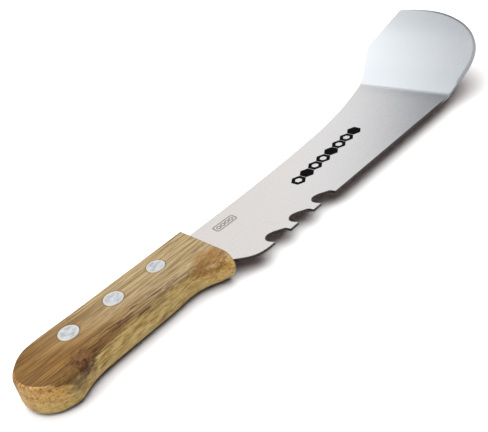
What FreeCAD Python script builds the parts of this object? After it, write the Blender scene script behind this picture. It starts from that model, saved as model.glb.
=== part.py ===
import FreeCAD, Part
import math
import os
from FreeCAD import Vector

# Beekeeper's uncapping knife with an upturned scraper tip.
#
# Pieces: one sheet-steel blade with its tang, one wooden grip with a sawn
# kerf, and three two-piece compression rivets (a sleeve and a pin each).
#
# Frame: millimetres, +X from the butt of the grip to the tip of the blade,
# +Y from the cutting edge to the spine, +Z up.  The origin is the centre of
# the grip's flat underside.  The pieces are drawn with x = y = 0 on the axis
# of the middle rivet, and are moved by FRAME_SHIFT when they are written.
FRAME_SHIFT = Vector(2.70, 8.55, 0)   # middle rivet seen from the origin

# -------------------------------------------------------- shared dimensions
GRIP_T = 18.4            # grip thickness, underside to top face
GRIP_FRONT = 55.1        # x of the flat front end of the grip

BLADE_T = 1.6            # sheet thickness
BLADE_Z0 = 0.5 * (GRIP_T - BLADE_T)   # underside of the flat part of the sheet
BLADE_Z1 = BLADE_Z0 + BLADE_T         # upper side of the flat part

TANG_REAR = -41.0        # x of the tang's rear end inside the grip
TANG_LOW = -8.2          # y of the tang's lower edge
TANG_TOP = 10.4          # y of the tang's spine edge, just inside the grip
TANG_CORNER = 9.0        # radius of the tang's lower rear corner
TANG_HOLE_D = 5.2        # clearance holes for the sleeves

# name, x, head diameter
RIVETS = (("rear", -27.6, 10.7), ("middle", 0.0, 10.7), ("front", 27.9, 10.0))
HEAD_H = 1.6             # head thickness
HEAD_PROUD = 0.15        # the upper heads stand this far above the wood
HEAD_TOP = GRIP_T + HEAD_PROUD
HEAD_SEAT = HEAD_TOP - HEAD_H         # underside of the upper heads
SLEEVE_D = 5.0           # outside of the sleeve


# ------------------------------------------------------------------ helpers
def in_plane(points):
    """Vectors at z = 0 for (x, y) points."""
    return [Vector(x, y, 0) for x, y in points]


def interpolated(vectors):
    curve = Part.BSplineCurve()
    curve.interpolate(vectors)
    return curve


def spline(vectors):
    return interpolated(vectors).toShape()


def polyline(points):
    """Separate line edges joining (x, y) points in turn."""
    vectors = in_plane(points)
    return [Part.makeLine(p, q) for p, q in zip(vectors, vectors[1:])]


def face_of(edges):
    return Part.Face(Part.Wire(Part.__sortEdges__(edges)))


def sheet(plan):
    """Plan face made as thick as the blade, at the blade's height."""
    solid = plan.extrude(Vector(0, 0, BLADE_T))
    solid.translate(Vector(0, 0, BLADE_Z0))
    return solid


def cylinder(diameter, height, x, z):
    return Part.makeCylinder(diameter / 2, height, Vector(x, 0, z))


def lower_rear_corner(rear, low, radius):
    """Three points on the tang's rounded corner, from rear to lower edge."""
    middle = radius * (1 - math.sqrt(0.5))
    return in_plane([(rear, low + radius), (rear + middle, low + middle),
                     (rear + radius, low)])


# --------------------------------------------------------------------- grip
# Plan outline of the grip at its widest, counter-clockwise seen from above:
# x, y, radius of the upper edge, radius of the lower edge.  The outline
# closes beyond the front plane, where the body ends square.
GRIP_OUTLINE = (
    (60.7, 11.2, 1.4, 1.8), (53.4, 11.2, 1.4, 1.8), (41.4, 11.2, 1.4, 1.8),
    (18.4, 11.1, 1.4, 1.8), (0.0, 11.0, 1.4, 1.8), (-18.4, 11.0, 1.4, 1.8),
    (-33.1, 11.2, 1.3, 1.8), (-42.3, 11.0, 1.2, 2.3), (-48.3, 9.9, 1.2, 2.9),
    (-53.4, 7.0, 1.2, 3.4), (-57.3, 3.6, 1.7, 4.6), (-60.7, -0.9, 3.0, 5.8),
    (-61.4, -6.4, 2.3, 3.6), (-60.4, -11.8, 1.8, 3.4), (-57.6, -16.8, 1.7, 3.4),
    (-53.4, -20.8, 2.3, 3.6), (-48.1, -23.6, 3.5, 5.0), (-43.2, -24.8, 4.5, 6.0),
    (-38.1, -23.6, 5.5, 7.2), (-32.2, -21.6, 6.0, 7.4), (-23.9, -20.5, 6.4, 7.4),
    (-9.2, -20.1, 6.4, 7.4), (9.2, -19.7, 6.4, 7.4), (23.9, -19.2, 6.4, 7.4),
    (33.1, -19.0, 6.9, 7.8), (39.6, -20.4, 7.8, 8.3), (46.0, -23.6, 8.3, 8.8),
    (51.1, -26.6, 7.5, 10.2), (55.7, -28.5, 6.5, 11.3), (60.7, -29.7, 6.2, 11.4),
    (68.0, -30.1, 6.5, 11.0), (80.0, -27.6, 6.5, 8.0), (88.0, -19.0, 5.0, 5.0),
    (91.0, -8.0, 3.0, 3.0), (88.0, 3.5, 1.8, 1.8), (80.0, 10.0, 1.4, 1.8),
    (70.0, 11.4, 1.4, 1.8),
)
SEAM_KNOT = -4           # sampling starts here, in the part cut away in front
RING_POINTS = 96         # samples round the outline
ARC_STEPS = 6            # steps over each edge rounding
SIDE_LEVELS = (0.35, 0.65)   # extra sections, as fractions of the upright side
FRONT_SPACING = 0.6      # samples closer than this to the front are left out

KERF_END_GAP = 1.2       # free length of kerf behind the tang
KERF_TOP = 40.0          # y, clear of the grip's spine side
KERF_OVERRUN = 20.0      # how far the kerf tool runs out in front
CUT_MARGIN = 2.0         # how far the rivet hole tools stand out of the wood


def outline_samples():
    """Points round the outline: position, outward normal, upper and lower radius."""
    outline = Part.BSplineCurve()
    points = in_plane([row[:2] for row in GRIP_OUTLINE])
    outline.interpolate(points, PeriodicFlag=True)
    first, last = outline.FirstParameter, outline.LastParameter
    knots = [first] + [outline.parameter(p) for p in points[1:]] + [last]
    radii = [row[2:] for row in GRIP_OUTLINE]
    radii.append(radii[0])
    samples = []
    for i in range(RING_POINTS):
        param = knots[SEAM_KNOT] + (last - first) * i / RING_POINTS
        if param >= last:
            param -= last - first
        k = 0
        while k < len(knots) - 2 and param > knots[k + 1]:
            k += 1
        # ease the radii from one outline point to the next
        blend = (param - knots[k]) / (knots[k + 1] - knots[k])
        blend = blend * blend * (3 - 2 * blend)
        upper, lower = [before * (1 - blend) + after * blend
                        for before, after in zip(radii[k], radii[k + 1])]
        tangent = outline.tangent(param)[0]
        outward = Vector(tangent.y, -tangent.x, 0)
        outward.normalize()
        samples.append((outline.value(param), outward, upper, lower))
    return samples


def side_profile(upper, lower):
    """(inset, height) from the underside to the top for two edge radii."""
    angles = [0.5 * math.pi * k / ARC_STEPS for k in range(ARC_STEPS + 1)]
    profile = [(lower * (1 - math.sin(a)), lower * (1 - math.cos(a)))
               for a in angles]
    profile += [(0.0, lower + level * (GRIP_T - upper - lower))
                for level in SIDE_LEVELS]
    profile += [(upper * (1 - math.sin(a)), GRIP_T - upper * (1 - math.cos(a)))
                for a in reversed(angles)]
    return profile


def behind_front(ring):
    """The part of a ring behind the front plane, ending exactly on it."""
    count = len(ring)
    start = next(i for i in range(count)
                 if ring[i].x > GRIP_FRONT >= ring[(i + 1) % count].x)
    kept = []
    for j in range(count + 1):
        p, q = ring[(start + j) % count], ring[(start + j + 1) % count]
        if (p.x > GRIP_FRONT) != (q.x > GRIP_FRONT):
            hit = p + (q - p) * ((GRIP_FRONT - p.x) / (q.x - p.x))
            hit.x = GRIP_FRONT
            kept.append(hit)
            if len(kept) > 1:
                break
        if q.x < GRIP_FRONT - FRONT_SPACING:
            kept.append(q)
    return kept


def grip_body():
    columns = []     # one upright row of points for each outline sample
    for point, outward, upper, lower in outline_samples():
        columns.append([Vector(point.x - outward.x * inset,
                               point.y - outward.y * inset, z)
                        for inset, z in side_profile(upper, lower)])
    wires = []
    for ring in zip(*columns):
        kept = behind_front(ring)
        wires.append(Part.Wire([spline(kept), Part.makeLine(kept[-1], kept[0])]))
    return Part.makeLoft(wires, True, False)


def kerf_tool():
    """Slot for the tang, open to the front and to the spine side."""
    rear = TANG_REAR - KERF_END_GAP
    radius = TANG_CORNER + KERF_END_GAP
    front = GRIP_FRONT + KERF_OVERRUN
    edges = [Part.Arc(*lower_rear_corner(rear, TANG_LOW, radius)).toShape()]
    edges += polyline([(rear + radius, TANG_LOW), (front, TANG_LOW),
                       (front, KERF_TOP), (rear, KERF_TOP),
                       (rear, TANG_LOW + radius)])
    return sheet(face_of(edges))


def make_grip():
    body = grip_body().cut(kerf_tool())
    for _, x, head_d in RIVETS:
        body = body.cut(cylinder(SLEEVE_D, GRIP_T + 2 * CUT_MARGIN, x, -CUT_MARGIN))
        for z in (-CUT_MARGIN, HEAD_SEAT):
            body = body.cut(cylinder(head_d, HEAD_H + CUT_MARGIN, x, z))
    return body


# ------------------------------------------------------- flat part of blade
NOTCH_X0 = 79.8          # x of the first tooth tip
NOTCH_PITCH = 19.2       # tooth to tooth
NOTCH_COUNT = 3
EDGE_Y0 = -32.3          # cutting edge line: y at the first tooth tip
EDGE_SLOPE = 0.01267     # the edge runs slightly towards the spine

# x, y along the spine and round the heel of the cutting edge, from the grip
SPINE_PTS = (
    (GRIP_FRONT, 13.7), (70, 13.7), (88, 13.78), (107, 14.05), (125, 14.6),
    (145, 15.55), (165, 16.9), (182, 18.6), (197, 20.9), (212, 24.1),
    (225, 27.6), (237, 31.3), (246, 34.2),
)
HEEL_PTS = (
    (GRIP_FRONT, -18.2), (57.6, -21.4), (60.7, -24.9), (63.8, -28.0),
    (67.0, -30.2), (70.6, -31.6), (75.0, -32.25), (NOTCH_X0, EDGE_Y0),
)
# One notch, x and y from its tooth tip: an undercut hollow, then a ramp
# back down, a small corner and a short steep wall that ends on the edge line.
HOLLOW_PTS = (
    (0.0, 0.0), (-0.8, 1.9), (-1.25, 3.9), (-0.85, 5.8), (0.5, 7.2),
    (2.6, 7.95), (4.7, 7.65), (6.9, 6.75),
)
RAMP_END = (11.9, 3.6)
WALL_TOP = (12.35, 2.7)
NOTCH_LENGTH = 12.85     # tooth tip to the foot of the wall, in x

PLAN_FRONT = 256.0       # the plan runs past the crease to this x

# ------------------------------------------------------------ bend and tip
CREASE_SPINE_END = Vector(237.41, 30.25, 0)
CREASE_EDGE_END = Vector(246.84, -29.70, 0)
BEND = math.radians(25.0)             # upwards
BEND_R = 6.0             # inner bend radius
BEND_SECTIONS = 5        # steps from the start to the end of the bend
SPINE_SPREAD = 0.35      # widening over the bend on the spine side
EDGE_SPREAD = 0.1        # and on the cutting edge side

SETBACK = BEND_R * math.tan(BEND / 2)     # crease line to either end of bend
ACROSS = CREASE_EDGE_END - CREASE_SPINE_END
ACROSS.normalize()                        # along the crease, towards the edge
FORWARD = Vector(-ACROSS.y, ACROSS.x, 0)  # away from the grip, square to it
BEND_START = CREASE_SPINE_END - FORWARD * SETBACK

# Tip outline in its own plane: u along the crease from the spine end to the
# edge end, v away from the crease.  The leading edge is one long curve, and a
# straight chamfer joins it to the spine-side edge.
TIP_SIDE_PTS = ((-2.5, 8.5), (-5.1, 18.5), (-8.0, 32.9))  # bend to chamfer
NOSE_PTS = (
    (2.7, 65.1), (11.2, 66.1), (18.7, 66.2), (26.3, 65.7), (33.9, 64.3),
    (41.6, 61.6), (49.2, 57.7), (56.2, 52.2), (61.7, 45.2), (65.1, 37.4),
    (66.2, 29.6), (65.8, 22.5), (64.6, 15.6),
)
BEVEL_W = 1.6            # width of the ground rim on the nose
BEVEL_H = 0.50           # its depth into the sheet
# the block that shapes the rim, in the tip's u and v
BLOCK_U = (-25, 85)
BLOCK_V0 = -20
BLOCK_LEAD_IN = 9        # straight run before the first nose point
BLOCK_LEAD_OUT = 7       # and after the last one
BLOCK_MARGIN = 0.6       # beyond both faces of the sheet


def edge_y(x):
    return EDGE_Y0 + EDGE_SLOPE * (x - NOTCH_X0)


def blade_plan():
    """Face of the flat part and the tang, running past the crease."""
    edges = [spline(in_plane(SPINE_PTS))]
    corner = (PLAN_FRONT, edge_y(PLAN_FRONT))
    edges += polyline([SPINE_PTS[-1], (PLAN_FRONT, SPINE_PTS[-1][1]), corner])
    for k in reversed(range(NOTCH_COUNT)):
        tooth_x = NOTCH_X0 + k * NOTCH_PITCH
        tooth_y = edge_y(tooth_x)
        hollow = [(tooth_x + x, tooth_y + y) for x, y in HOLLOW_PTS]
        wall_foot_x = tooth_x + NOTCH_LENGTH
        edges += polyline([corner, (wall_foot_x, edge_y(wall_foot_x)),
                           (tooth_x + WALL_TOP[0], tooth_y + WALL_TOP[1]),
                           (tooth_x + RAMP_END[0], tooth_y + RAMP_END[1]),
                           hollow[-1]])
        edges.append(spline(in_plane(hollow)))
        corner = (tooth_x, tooth_y)
    edges.append(spline(in_plane(HEEL_PTS)))
    # shoulders against the grip, and the tang
    edges += polyline([HEEL_PTS[0], (GRIP_FRONT, TANG_LOW),
                       (TANG_REAR + TANG_CORNER, TANG_LOW)])
    rounding = lower_rear_corner(TANG_REAR, TANG_LOW, TANG_CORNER)
    edges.append(Part.Arc(*reversed(rounding)).toShape())
    edges += polyline([(TANG_REAR, TANG_LOW + TANG_CORNER), (TANG_REAR, TANG_TOP),
                       (GRIP_FRONT, TANG_TOP), SPINE_PTS[0]])
    return face_of(edges)


def flat_part():
    """Everything behind the start of the bend, with the tang holes."""
    beyond_bend = Part.makeBox(80, 200, 40)
    beyond_bend.translate(Vector(0, -100, 0))
    heading = math.degrees(math.atan2(FORWARD.y, FORWARD.x))
    beyond_bend.rotate(Vector(0, 0, 0), Vector(0, 0, 1), heading)
    beyond_bend.translate(BEND_START + Vector(0, 0, BLADE_Z0 - 20))
    flat = sheet(blade_plan()).cut(beyond_bend).Solids[0]
    for _, x, _ in RIVETS:
        flat = flat.cut(cylinder(TANG_HOLE_D, 20, x, BLADE_Z0 - 5))
    return flat


def bend_limits(flat):
    """u of the sheet's spine and cutting edges at the start of the bend."""
    on_face = Part.Vertex(BEND_START + ACROSS * 20 + Vector(0, 0, BLADE_Z0))
    end_face = [f for f in flat.Faces
                if abs(f.normalAt(0, 0).dot(FORWARD)) > 0.9999
                and f.distToShape(on_face)[0] < 1e-3][0]
    across = [(v.Point - BEND_START).dot(ACROSS) for v in end_face.Vertexes]
    return min(across), max(across)


def bend_point(angle, u, radius):
    height = BLADE_Z1 + BEND_R - radius * math.cos(angle)
    return (BEND_START + ACROSS * u + FORWARD * (radius * math.sin(angle))
            + Vector(0, 0, height))


def bend_part(spine_u, edge_u):
    outer_r = BEND_R + BLADE_T
    wires = []
    for i in range(BEND_SECTIONS + 1):
        done = i / BEND_SECTIONS
        u0 = spine_u - SPINE_SPREAD * done
        u1 = edge_u + EDGE_SPREAD * done
        corners = [bend_point(BEND * done, u, radius)
                   for u, radius in ((u0, BEND_R), (u1, BEND_R),
                                     (u1, outer_r), (u0, outer_r))]
        wires.append(Part.makePolygon(corners + corners[:1]))
    return Part.makeLoft(wires, True, False)


TIP_ORIGIN = bend_point(BEND, 0, BEND_R)   # u = 0, v = SETBACK, upper side
TIP_FORWARD = FORWARD * math.cos(BEND) + Vector(0, 0, math.sin(BEND))
TIP_NORMAL = FORWARD * -math.sin(BEND) + Vector(0, 0, math.cos(BEND))


def tip_point(u, v, depth=0):
    """Point in the tip, depth below its upper side."""
    return (TIP_ORIGIN + ACROSS * u + TIP_FORWARD * (v - SETBACK)
            - TIP_NORMAL * depth)


def rim_wire(depth):
    """Section of the rim block, its nose wall leaning at the angle of the grind."""
    inset = BEVEL_W * (1 - depth / BEVEL_H)
    points = in_plane(NOSE_PTS)
    curve = interpolated(points)
    tangents = [curve.tangent(curve.parameter(p))[0] for p in points]
    wall = [p + Vector(t.y, -t.x, 0) * inset for p, t in zip(points, tangents)]
    wall.insert(0, wall[0] - tangents[0] * BLOCK_LEAD_IN)
    wall.append(wall[-1] + tangents[-1] * BLOCK_LEAD_OUT)
    u0, u1 = BLOCK_U
    outer = [(wall[-1].x, wall[-1].y), (u1, wall[-1].y), (u1, BLOCK_V0),
             (u0, BLOCK_V0), (u0, wall[0].y), (wall[0].x, wall[0].y)]
    outer = [tip_point(u, v, depth) for u, v in outer]
    return Part.Wire([spline([tip_point(p.x, p.y, depth) for p in wall])]
                     + [Part.makeLine(p, q) for p, q in zip(outer, outer[1:])])


def tip_part(spine_u, edge_u):
    spine_root = tip_point(spine_u, SETBACK)
    edge_root = tip_point(edge_u, SETBACK)
    side = [spine_root] + [tip_point(u, v) for u, v in TIP_SIDE_PTS]
    nose = [tip_point(u, v) for u, v in NOSE_PTS]
    outline = face_of([
        Part.makeLine(spine_root, edge_root),
        Part.makeLine(edge_root, nose[-1]),
        spline(nose),
        Part.makeLine(side[-1], nose[0]),
        spline(side),
    ])
    tip = outline.extrude(TIP_NORMAL * -BLADE_T)
    # grind the rim along the nose, on the upper side
    block = Part.makeLoft([rim_wire(-BLOCK_MARGIN), rim_wire(BLADE_T + BLOCK_MARGIN)],
                          True, True)
    return tip.common(block).Solids[0]


def make_blade():
    flat = flat_part()
    spine_u, edge_u = bend_limits(flat)
    bend = bend_part(spine_u, edge_u)
    tip = tip_part(spine_u - SPINE_SPREAD, edge_u + EDGE_SPREAD)
    return flat.fuse(bend).fuse(tip).removeSplitter()


# ------------------------------------------------------------------- rivets
PIN_D = 3.0              # pin shank, pressed into the sleeve
PIN_CHAMFER = 0.3        # on the lower end of the shank
PIN_END_GAP = 2.0        # pin stops this far above the sleeve's head
SLEEVE_TOP_GAP = 2.2     # sleeve stops this far below the upper head
PIN_HEAD_EDGE = 0.3      # rounding of the upper head's rim
SLEEVE_HEAD_EDGE = 0.5 * PIN_HEAD_EDGE    # rounding of the lower head's rim


def edges_at(shape, z):
    """Edges that lie level at height z."""
    return [e for e in shape.Edges
            if abs(e.BoundBox.ZMin - z) < 1e-4 and abs(e.BoundBox.ZMax - z) < 1e-4]


def make_pin(x, head_d):
    head = cylinder(head_d, HEAD_H, x, HEAD_SEAT)
    head = head.makeFillet(PIN_HEAD_EDGE, edges_at(head, HEAD_TOP))
    shank_end = HEAD_H + PIN_END_GAP
    shank = cylinder(PIN_D, HEAD_SEAT - shank_end, x, shank_end)
    shank = shank.makeChamfer(PIN_CHAMFER, edges_at(shank, shank_end))
    return head.fuse(shank).removeSplitter()


def make_sleeve(x, head_d):
    head = cylinder(head_d, HEAD_H, x, 0)
    head = head.makeFillet(SLEEVE_HEAD_EDGE, edges_at(head, 0))
    sleeve_top = HEAD_SEAT - SLEEVE_TOP_GAP
    tube = cylinder(SLEEVE_D, sleeve_top - HEAD_H, x, HEAD_H)
    bore = cylinder(PIN_D, sleeve_top, x, HEAD_H)   # open at the top
    return head.fuse(tube).cut(bore).removeSplitter()


# ------------------------------------------------------------------- output
def save(shape, name):
    if shape.ShapeType != "Solid" and len(shape.Solids) == 1:
        shape = shape.Solids[0]
    assert shape.isValid(), name
    shape.translate(FRAME_SHIFT)
    shape.exportStep("parts/" + name + ".step")


os.makedirs("parts", exist_ok=True)
save(make_blade(), "blade")
save(make_grip(), "grip")
for rivet_name, rivet_x, rivet_head_d in RIVETS:
    save(make_pin(rivet_x, rivet_head_d), rivet_name + "_rivet_pin")
    save(make_sleeve(rivet_x, rivet_head_d), rivet_name + "_rivet_sleeve")
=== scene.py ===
"""A long steel blade with a bent-up scraper tip, riveted into a wooden grip.

It lies flat along X: the butt of the grip towards -X, the tip towards +X, the spine
towards +Y and the belly of the grip towards -Y. The underside of the grip is at z = 0.
Shapes are given in millimetres and built in metres; lights and camera are in metres.
"""

import math

import bmesh
import bpy
import numpy as np
from mathutils import Matrix, Vector, noise


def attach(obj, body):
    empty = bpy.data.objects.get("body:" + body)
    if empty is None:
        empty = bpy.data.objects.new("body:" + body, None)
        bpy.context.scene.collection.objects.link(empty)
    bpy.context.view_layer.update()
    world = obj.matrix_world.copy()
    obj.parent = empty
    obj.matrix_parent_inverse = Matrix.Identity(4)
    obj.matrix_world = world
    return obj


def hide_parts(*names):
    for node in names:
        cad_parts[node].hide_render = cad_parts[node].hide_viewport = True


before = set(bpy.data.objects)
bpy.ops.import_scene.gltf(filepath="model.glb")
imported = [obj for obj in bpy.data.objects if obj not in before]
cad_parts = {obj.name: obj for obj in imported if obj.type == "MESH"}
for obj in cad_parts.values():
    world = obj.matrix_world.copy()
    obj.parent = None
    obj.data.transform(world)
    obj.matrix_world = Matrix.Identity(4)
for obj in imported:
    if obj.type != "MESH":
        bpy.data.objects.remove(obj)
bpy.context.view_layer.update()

MM = 0.001
ORIGIN_X, ORIGIN_Y = 2.70, 8.55         # middle rivet axis; grip and marks are drawn about it

BLADE_TOP = 10.0
BLADE_THICKNESS = 1.6

# name, place along the grip from the middle rivet, head diameter
RIVETS = (("rear", -27.6, 10.7), ("middle", 0.0, 10.7), ("front", 27.9, 10.0))
RIVET_TOP = 18.55                       # upper face of the pin heads
HEAD_HEIGHT = 1.6
PIN_HEAD_BASE = RIVET_TOP - HEAD_HEIGHT
SLEEVE_RADIUS = 2.5

scene = bpy.context.scene
scene.view_settings.view_transform = "Standard"
scene.view_settings.look = "None"


# ------------------------------------------------------------ mesh helpers
def new_object(name, bm, material):
    bmesh.ops.recalc_face_normals(bm, faces=bm.faces[:])
    mesh = bpy.data.meshes.new(name)
    bm.to_mesh(mesh)
    bm.free()
    ob = bpy.data.objects.new(name, mesh)
    scene.collection.objects.link(ob)
    mesh.materials.append(material)
    return ob


def smooth_all(mesh):
    mesh.polygons.foreach_set("use_smooth", [True] * len(mesh.polygons))


def shade(ob, angle):
    """Smooth shading that keeps edges sharper than the angle (degrees) crisp."""
    smooth_all(ob.data)
    ob.data.set_sharp_from_angle(angle=math.radians(angle))


def exact_normals(ob, planes, near, soft):
    """Corner normals that are exact on the given flat faces and smooth between them.

    Faces within `near` degrees of a plane count as flat; neighbours within `soft`
    degrees of each other are averaged.
    """
    mesh = ob.data
    smooth_all(mesh)
    never = 9.0                         # angle reported for a face of no area, in radians
    directions = [Vector(plane).normalized() for plane in planes]
    directions += [-direction for direction in directions]
    normals = [face.normal.copy() for face in mesh.polygons]
    areas = [face.area for face in mesh.polygons]
    flat = [next((d for d in directions if n.angle(d, never) < math.radians(near)), None)
            for n in normals]
    faces_at = [[] for _ in mesh.vertices]
    for face in mesh.polygons:
        for vertex in face.vertices:
            faces_at[vertex].append(face.index)
    limit = math.radians(soft)
    corners = [None] * len(mesh.loops)
    for face in mesh.polygons:
        normal = normals[face.index]
        for corner in face.loop_indices:
            if flat[face.index] is not None:
                corners[corner] = flat[face.index]
                continue
            total, fixed = Vector((0, 0, 0)), None
            for other in faces_at[mesh.loops[corner].vertex_index]:
                if (normal.length > 0 and normals[other].length > 0
                        and normal.angle(normals[other], never) < limit):
                    total += normals[other] * areas[other]
                    if flat[other] is not None:
                        fixed = flat[other]
            if fixed is None:
                fixed = total.normalized() if total.length > 0 else normal
            corners[corner] = fixed
    mesh.normals_split_custom_set([tuple(n) for n in corners])


def cut_away(ob, cutters):
    """Subtract the cutters from the object for good, and remove them."""
    for cutter in cutters:
        cut = ob.modifiers.new("cut", "BOOLEAN")
        cut.operation = "DIFFERENCE"
        cut.solver = "EXACT"
        cut.object = cutter
    bpy.context.view_layer.update()
    depsgraph = bpy.context.evaluated_depsgraph_get()
    mesh = bpy.data.meshes.new_from_object(ob.evaluated_get(depsgraph))
    ob.modifiers.clear()
    old = ob.data
    ob.data = mesh
    bpy.data.meshes.remove(old)
    for cutter in cutters:
        bpy.data.objects.remove(cutter)


def lathe(profile, x, y, segments=96):
    """Solid of revolution about a vertical axis; profile is (r, z), from axis to axis."""
    bm = bmesh.new()
    rings = []
    for r, z in profile:
        if r < 1e-9:
            rings.append([bm.verts.new((x * MM, y * MM, z * MM))])
        else:
            turns = [2 * math.pi * k / segments for k in range(segments)]
            rings.append([bm.verts.new(((x + r * math.cos(turn)) * MM,
                                        (y + r * math.sin(turn)) * MM, z * MM))
                          for turn in turns])
    for a, b in zip(rings[:-1], rings[1:]):
        for k in range(segments):
            j = (k + 1) % segments
            if len(a) == 1:
                bm.faces.new((a[0], b[k], b[j]))
            elif len(b) == 1:
                bm.faces.new((a[j], a[k], b[0]))
            else:
                bm.faces.new((a[k], a[j], b[j], b[k]))
    return bm


def ring_at(bm, outline, z):
    return [bm.verts.new((x * MM, y * MM, z * MM)) for x, y in outline]


def bridge(bm, a, b):
    """Quads between two closed rings of the same length."""
    for k in range(len(a)):
        j = (k + 1) % len(a)
        bm.faces.new((a[k], a[j], b[j], b[k]))


def add_plate(bm, outline, z0, z1):
    low, high = ring_at(bm, outline, z0), ring_at(bm, outline, z1)
    bm.faces.new(list(reversed(low)))
    bm.faces.new(high)
    bridge(bm, low, high)


def add_frame(bm, outer, inner, z0, z1):
    """A flat frame between two closed outlines of the same length."""
    outer_low, outer_high = ring_at(bm, outer, z0), ring_at(bm, outer, z1)
    inner_low, inner_high = ring_at(bm, inner, z0), ring_at(bm, inner, z1)
    bridge(bm, outer_high, inner_high)
    bridge(bm, inner_low, outer_low)
    bridge(bm, outer_low, outer_high)
    bridge(bm, inner_high, inner_low)


# ------------------------------------------------------------ node helpers
class Value:
    """A node output; arithmetic on it adds Math nodes to its tree."""

    def __init__(self, tree, socket):
        self.tree, self.socket = tree, socket

    def __add__(self, other):
        return self.tree.math("ADD", self, other)

    def __radd__(self, other):
        return self.tree.math("ADD", other, self)

    def __sub__(self, other):
        return self.tree.math("SUBTRACT", self, other)

    def __mul__(self, other):
        return self.tree.math("MULTIPLY", self, other)

    def __abs__(self):
        return self.tree.math("ABSOLUTE", self)

    def swing(self, span):
        """A 0..1 noise spread over -span/2..span/2."""
        return (self - 0.5) * span

    def fade(self, start, end):
        """Smoothly 0 to 1 as the value goes from start to end, in either direction."""
        node = self.tree.node("ShaderNodeMapRange", interpolation_type="SMOOTHSTEP")
        self.tree.put(node.inputs["Value"], self)
        node.inputs["From Min"].default_value = start
        node.inputs["From Max"].default_value = end
        return Value(self.tree, node.outputs["Result"])


class Tree:
    """The nodes of a material or a world. Colours are given as (r, g, b)."""

    def __init__(self, owner, output_kind="ShaderNodeOutputMaterial"):
        self.owner = owner
        owner.use_nodes = True
        self.nodes, self.links = owner.node_tree.nodes, owner.node_tree.links
        self.nodes.clear()
        self.output = self.node(output_kind)

    def node(self, kind, **props):
        node = self.nodes.new(kind)
        for name, value in props.items():
            setattr(node, name, value)
        return node

    def put(self, socket, value):
        if isinstance(value, Value):
            self.links.new(value.socket, socket)
        elif value is not None:
            socket.default_value = (*value, 1) if socket.type == "RGBA" else value

    def build(self, kind, *inputs, output=0, **props):
        """A node with its first inputs filled in order."""
        node = self.node(kind, **props)
        for socket, value in zip(node.inputs, inputs):
            self.put(socket, value)
        return Value(self, node.outputs[output])

    def math(self, operation, *inputs):
        return self.build("ShaderNodeMath", *inputs, operation=operation)

    def max(self, a, b):
        return self.math("MAXIMUM", a, b)

    def vector_math(self, operation, *inputs):
        output = 1 if operation == "LENGTH" else 0
        return self.build("ShaderNodeVectorMath", *inputs, output=output, operation=operation)

    def distance(self, point, centre, scale):
        """Distance from the centre, with each axis scaled."""
        away = self.vector_math("SUBTRACT", point, centre)
        return self.vector_math("LENGTH", self.vector_math("MULTIPLY", away, scale))

    def rivet_distance(self, point, place):
        return self.distance(point, centre=(place + ORIGIN_X, ORIGIN_Y, 0.0),
                             scale=(1.0, 1.0, 0.0))

    def noise(self, point, freq, detail, rough, offset=(0, 0, 0), warp=0.0):
        """Noise with its own frequency along each axis, per millimetre."""
        mapping = self.node("ShaderNodeMapping")
        self.put(mapping.inputs["Vector"], point)
        mapping.inputs["Location"].default_value = offset
        mapping.inputs["Scale"].default_value = freq
        node = self.node("ShaderNodeTexNoise")
        self.put(node.inputs["Vector"], Value(self, mapping.outputs[0]))
        for name, value in (("Scale", 1.0), ("Detail", detail), ("Roughness", rough),
                            ("Distortion", warp)):
            node.inputs[name].default_value = value
        return Value(self, node.outputs[0])

    def ramp(self, factor, stops):
        """A colour ramp; stops are (position, colour)."""
        node = self.node("ShaderNodeValToRGB")
        elements = node.color_ramp.elements
        while len(elements) > 1:
            elements.remove(elements[-1])
        elements[0].position, elements[0].color = stops[0][0], (*stops[0][1], 1)
        for position, colour in stops[1:]:
            elements.new(position).color = (*colour, 1)
        self.put(node.inputs[0], factor)
        return Value(self, node.outputs[0])

    def mix(self, factor, a, b, blend="MIX"):
        node = self.node("ShaderNodeMix", data_type="RGBA", blend_type=blend)
        self.put(node.inputs["Factor"], factor)
        for name, value in (("A", a), ("B", b)):
            self.put(next(s for s in node.inputs if s.name == name and s.type == "RGBA"), value)
        return Value(self, next(s for s in node.outputs if s.type == "RGBA"))

    def paint(self, base, over, mask, strength):
        return self.mix(mask * strength, base, over)

    def tint(self, base, colour):
        return self.mix(1.0, base, colour, "MULTIPLY")

    def split(self, vector):
        node = self.node("ShaderNodeSeparateXYZ")
        self.put(node.inputs[0], vector)
        return [Value(self, socket) for socket in node.outputs]

    def normal(self):
        return self.split(self.build("ShaderNodeNewGeometry", output="Normal"))

    def ray(self, name):
        return self.build("ShaderNodeLightPath", output=name)

    def bump(self, height, strength, distance):
        node = self.node("ShaderNodeBump")
        node.inputs["Strength"].default_value = strength
        node.inputs["Distance"].default_value = distance
        self.put(node.inputs["Height"], height)
        return Value(self, node.outputs[0])

    def coords_mm(self):
        coords = self.build("ShaderNodeTexCoord", output="Object")
        return self.vector_math("MULTIPLY", coords, (1000.0, 1000.0, 1000.0))

    def principled(self, colour, rough, metallic=0.0, normal=None, specular=None):
        node = self.node("ShaderNodeBsdfPrincipled")
        for name, value in (("Base Color", colour), ("Roughness", rough), ("Metallic", metallic),
                            ("Normal", normal), ("Specular IOR Level", specular)):
            self.put(node.inputs[name], value)
        return Value(self, node.outputs[0])

    def finish(self, shader):
        self.put(self.output.inputs[0], shader)
        return self.owner


def material_tree(name):
    return Tree(bpy.data.materials.new(name))


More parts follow.
